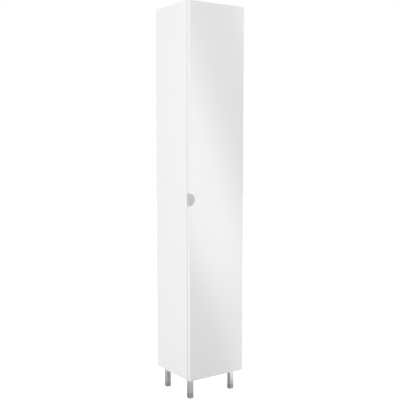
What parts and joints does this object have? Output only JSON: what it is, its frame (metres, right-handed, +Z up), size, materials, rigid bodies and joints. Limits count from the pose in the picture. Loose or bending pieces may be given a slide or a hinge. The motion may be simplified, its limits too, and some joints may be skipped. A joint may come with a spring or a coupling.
{
  "type": "broom cupboard",
  "caption": "Tall slim cupboard with a full-height gloss door on concealed hinges, upper shelves, hooks inside, a small edge pull and square metal legs with levelling feet.",
  "frame": {"origin": "middle of the overall footprint, on the floor under the feet", "axes": "+Z up, -Y out through the door, +X towards the hinge side"},
  "size_m": [0.3, 0.283, 1.785],
  "materials": {
    "white_board": "white melamine-faced board",
    "white_hardboard": "white-faced hardboard",
    "gloss_lacquer": "white gloss lacquer on board",
    "beech": "plain beech",
    "brushed_metal": "satin brushed",
    "foot_metal": "satin, a little darker",
    "nickel_plate": "nickel plated",
    "zinc_plate": "bright zinc plated",
    "cast_zinc": "as-cast zinc alloy",
    "hook_metal": "satin",
    "white_plastic": "fine texture",
    "magnet": "ground ferrite",
    "clear_rubber": "soft translucent",
    "black_plastic": "moulded"
  },
  "bodies": {
    "carcass": {"adjustable_shelf": "white_board", "back_panel": "white_hardboard", "back_panel_nails": "zinc_plate", "back_rail": "white_board", "bottom_panel": "white_board", "cam_bolts": "zinc_plate", "cam_locks": "cast_zinc", "catch_housing": "white_plastic", "catch_magnet": "magnet", "catch_screws": "nickel_plate", "door_stops": "clear_rubber", "dowels": "beech", "fixed_shelf": "white_board", "hinge_adjusting_screws": "nickel_plate", "hinge_arm_screws": "nickel_plate", "hinge_arms": "nickel_plate", "hinge_mounting_plates": "nickel_plate", "hinge_plate_screws": "nickel_plate", "hook_screws": "zinc_plate", "hooks": "hook_metal", "left_side": "white_board", "leg_inserts": "black_plastic", "leg_plate_screws": "zinc_plate", "leg_plates": "zinc_plate", "leg_tubes": "brushed_metal", "right_side": "white_board", "shelf_pins": "zinc_plate", "top_panel": "white_board", "wall_bracket": "zinc_plate", "wall_bracket_screws": "zinc_plate"},
    "door": {"door_panel": "gloss_lacquer", "edge_pull": "brushed_metal", "edge_pull_screws": "zinc_plate", "hinge_cup_screws": "nickel_plate", "hinge_cups": "nickel_plate", "hinge_pins": "nickel_plate", "strike_plate": "nickel_plate", "strike_plate_screw": "nickel_plate"},
    "foot_back_left": {"foot_back_left": "foot_metal"},
    "foot_back_right": {"foot_back_right": "foot_metal"},
    "foot_front_left": {"foot_front_left": "foot_metal"},
    "foot_front_right": {"foot_front_right": "foot_metal"}
  },
  "joints": [
    {"name": "door_hinge", "type": "hinge", "parent": "carcass", "child": "door", "pos_m": [0.1421, -0.1305, 0.94], "axis": [0, 0, 1], "range_deg": [0, 95]},
    {"name": "foot_back_left_level", "type": "slide", "parent": "carcass", "child": "foot_back_left", "axis": [0, 0, -1], "range_m": [0, 0.008]},
    {"name": "foot_back_right_level", "type": "slide", "parent": "carcass", "child": "foot_back_right", "axis": [0, 0, -1], "range_m": [0, 0.008]},
    {"name": "foot_front_left_level", "type": "slide", "parent": "carcass", "child": "foot_front_left", "axis": [0, 0, -1], "range_m": [0, 0.008]},
    {"name": "foot_front_right_level", "type": "slide", "parent": "carcass", "child": "foot_front_right", "axis": [0, 0, -1], "range_m": [0, 0.008]}
  ]
}
